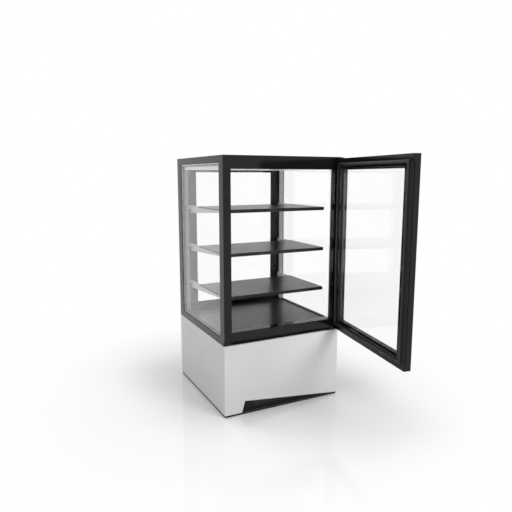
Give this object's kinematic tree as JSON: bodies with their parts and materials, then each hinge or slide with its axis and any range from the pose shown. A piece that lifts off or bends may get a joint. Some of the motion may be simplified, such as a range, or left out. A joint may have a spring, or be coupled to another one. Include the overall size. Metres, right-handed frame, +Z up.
{
  "type": "refrigerated display case",
  "caption": "Upright refrigerated display case: glass tower with lit shelves on slotted standards, hinged framed glass door standing open, white machine base with wedge-shaped air inlet",
  "frame": {"origin": "centre of the cabinet's footprint at floor level", "axes": "+X along the front to the right, towards the door's hinge; +Y from the front to the back; +Z up"},
  "size_m": [0.7, 1.4036, 1.35],
  "materials": {
    "black_steel": "satin",
    "white_paint": "satin",
    "zinc_screw": "satin",
    "black_plastic": "matte",
    "grey_button": "matte",
    "green_rocker": "gloss",
    "black_rocker": "gloss",
    "galvanised_steel": "satin",
    "black_gloss_steel": "gloss",
    "black_rubber": "matte",
    "fin_aluminium": "satin",
    "fan_plastic": "matte",
    "copper_pipe": "satin",
    "pale_liner": "satin",
    "dark_sheet": "gloss",
    "black_gloss_plastic": "gloss",
    "black_paint": "satin",
    "clear_glass": "gloss",
    "spacer_aluminium": "satin",
    "white_diffuser": "satin",
    "silver_steel": "satin",
    "grey_gasket": "matte",
    "bush_plastic": "matte"
  },
  "bodies": {
    "cabinet": {"base_frame": "black_steel", "front_panel": "white_paint", "left_panel": "white_paint", "right_panel": "white_paint", "rear_panel": "white_paint", "panel_screws": "zinc_screw", "vent_grille": "black_steel", "thermostat": "black_plastic", "switch_housings": "black_plastic", "power_inlet": "black_plastic", "electrical_box": "galvanised_steel", "compressor": "black_gloss_steel", "compressor_grommets": "black_rubber", "condenser_coil": "fin_aluminium", "condenser_shroud": "galvanised_steel", "condenser_fan_motor": "black_gloss_steel", "drip_tray": "galvanised_steel", "refrigerant_pipes": "copper_pipe", "insulated_tub": "pale_liner", "evaporator_coil": "fin_aluminium", "evaporator_fan_plate": "galvanised_steel", "deck_tray": "dark_sheet", "recess_strip": "black_gloss_plastic", "front_left_post": "black_paint", "front_right_post": "black_paint", "rear_left_post": "black_paint", "rear_right_post": "black_paint", "front_bottom_rail": "black_paint", "bottom_rails": "black_paint", "front_top_rail": "black_paint", "top_rails": "black_paint", "left_glass": "clear_glass", "right_glass": "clear_glass", "rear_glass": "clear_glass", "glass_spacers": "spacer_aluminium", "roof_panel": "black_paint", "ceiling_light": "white_diffuser", "light_strips": "white_diffuser", "shelf_standards": "silver_steel", "shelf_brackets": "silver_steel", "top_shelf": "dark_sheet", "middle_shelf": "dark_sheet", "bottom_shelf": "dark_sheet", "hinge_plates": "black_steel"},
    "glass_door": {"door_hinge_stile": "black_paint", "door_free_stile": "black_paint", "door_rails": "black_paint", "door_glass": "clear_glass", "door_spacer": "spacer_aluminium", "door_gasket": "grey_gasket", "door_bushes": "bush_plastic"},
    "condenser_fan_body": {"condenser_fan": "fan_plastic"},
    "evaporator_fan_left_body": {"evaporator_fan_left": "fan_plastic"},
    "evaporator_fan_right_body": {"evaporator_fan_right": "fan_plastic"},
    "set_button_body": {"set_button": "grey_button"},
    "down_button_body": {"down_button": "grey_button"},
    "up_button_body": {"up_button": "grey_button"},
    "power_switch_body": {"power_switch": "green_rocker"},
    "light_switch_body": {"light_switch": "black_rocker"}
  },
  "joints": [
    {"name": "door_hinge", "type": "hinge", "parent": "cabinet", "child": "glass_door", "pos_m": [0.33, -0.376, 0.873], "axis": [0, 0, 1], "range_deg": [-80.7, 24.3]},
    {"name": "condenser_fan_spin", "type": "hinge", "parent": "cabinet", "child": "condenser_fan_body", "pos_m": [0, -0.236, 0.132], "axis": [0, 1, 0], "continuous": true},
    {"name": "evaporator_fan_left_spin", "type": "hinge", "parent": "cabinet", "child": "evaporator_fan_left_body", "pos_m": [-0.11, 0.051, 0.37], "axis": [0, 1, 0], "continuous": true},
    {"name": "evaporator_fan_right_spin", "type": "hinge", "parent": "cabinet", "child": "evaporator_fan_right_body", "pos_m": [0.11, 0.051, 0.37], "axis": [0, 1, 0], "continuous": true},
    {"name": "set_button_press", "type": "slide", "parent": "cabinet", "child": "set_button_body", "axis": [0, -1, 0], "range_m": [0, 0.001], "stiffness_N_per_m": 800},
    {"name": "down_button_press", "type": "slide", "parent": "cabinet", "child": "down_button_body", "axis": [0, -1, 0], "range_m": [0, 0.001], "stiffness_N_per_m": 800},
    {"name": "up_button_press", "type": "slide", "parent": "cabinet", "child": "up_button_body", "axis": [0, -1, 0], "range_m": [0, 0.001], "stiffness_N_per_m": 800},
    {"name": "power_switch_rock", "type": "hinge", "parent": "cabinet", "child": "power_switch_body", "pos_m": [0.15, 0.3465, 0.325], "axis": [1, 0, 0], "range_deg": [-16, 0]},
    {"name": "light_switch_rock", "type": "hinge", "parent": "cabinet", "child": "light_switch_body", "pos_m": [0.19, 0.3465, 0.325], "axis": [1, 0, 0], "range_deg": [-16, 0]}
  ]
}
